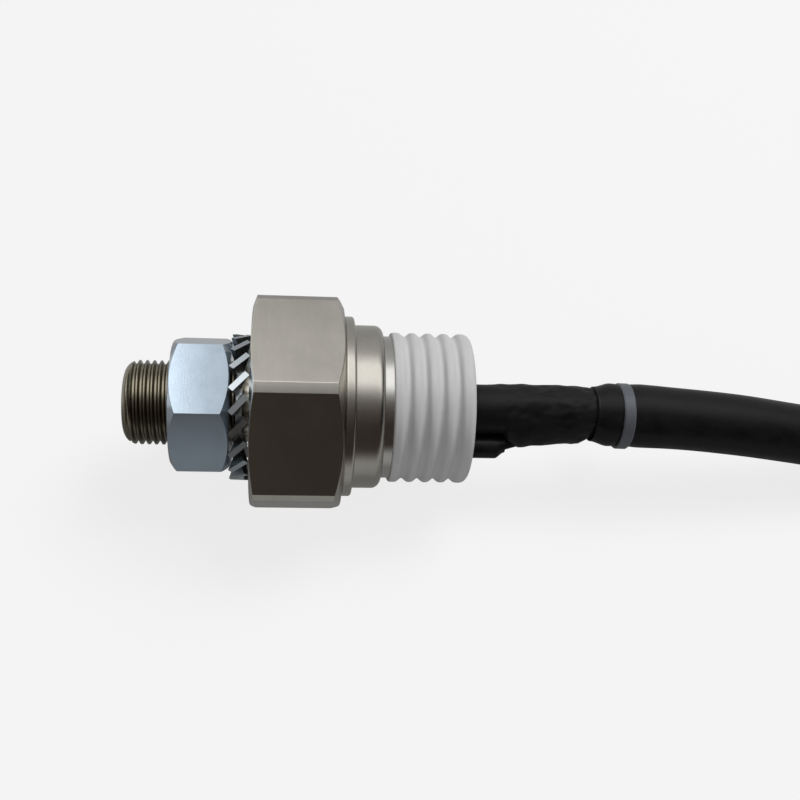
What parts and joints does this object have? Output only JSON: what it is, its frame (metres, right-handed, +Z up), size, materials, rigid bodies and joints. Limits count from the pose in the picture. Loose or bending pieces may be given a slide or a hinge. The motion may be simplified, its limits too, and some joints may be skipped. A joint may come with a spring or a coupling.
{
  "type": "phase control thyristor",
  "caption": "Stud-mounted power thyristor: hexagonal plated copper base, pressed cap, ribbed white ceramic and a black-sleeved flexible lead.",
  "frame": {"origin": "centre of the hexagon's seat face, on the device's axis", "axes": "+X along the axis from the stud towards the lead, +Z up out of the hexagon's top flat, the device lying on the opposite flat"},
  "size_m": [0.285, 0.0506, 0.045],
  "materials": {
    "nickel_plated_copper": "satin",
    "zinc_plated_steel": "satin",
    "washer_steel": "satin",
    "nickel_plated_steel": "satin",
    "neck_metal": "polished",
    "white_ceramic": "matt",
    "molybdenum": "satin",
    "silicon": "polished",
    "bare_copper": "satin",
    "stack_insulation": "matt",
    "spring_steel": "satin",
    "gate_brass": "satin",
    "seal_glass": "gloss",
    "black_sleeve": "satin",
    "wire_black": "satin",
    "wire_red": "satin",
    "tie_nylon": "satin",
    "tinned_copper": "satin"
  },
  "bodies": {
    "root": {"base_stud": "nickel_plated_copper", "hex_nut": "zinc_plated_steel", "lock_washer": "washer_steel", "weld_ring": "nickel_plated_steel", "cap_shell": "nickel_plated_steel", "neck_sleeve": "neck_metal", "ceramic_insulator": "white_ceramic", "lower_disc": "molybdenum", "silicon_wafer": "silicon", "upper_disc": "molybdenum", "locating_ring": "stack_insulation", "cathode_post": "bare_copper", "post_insulator": "stack_insulation", "mica_washer": "stack_insulation", "thrust_washer": "spring_steel", "disc_spring_lower": "spring_steel", "disc_spring_upper": "spring_steel", "retaining_ring": "spring_steel", "clamp_collar": "spring_steel", "gate_bush": "stack_insulation", "gate_pin": "gate_brass", "gate_spring": "spring_steel", "gate_inner_wire": "gate_brass", "inner_lead": "bare_copper", "top_seal": "nickel_plated_steel", "cathode_tube": "bare_copper", "gate_bead": "seal_glass", "gate_tube": "nickel_plated_steel", "cathode_lead": "bare_copper", "lead_sleeve_inner": "black_sleeve", "lead_sleeve_outer": "black_sleeve", "gate_sleeve": "black_sleeve", "gate_lead": "wire_black", "aux_lead": "wire_red", "cable_tie": "tie_nylon", "cable_lug": "tinned_copper", "gate_terminal": "tinned_copper", "aux_terminal": "tinned_copper"}
  },
  "joints": []
}
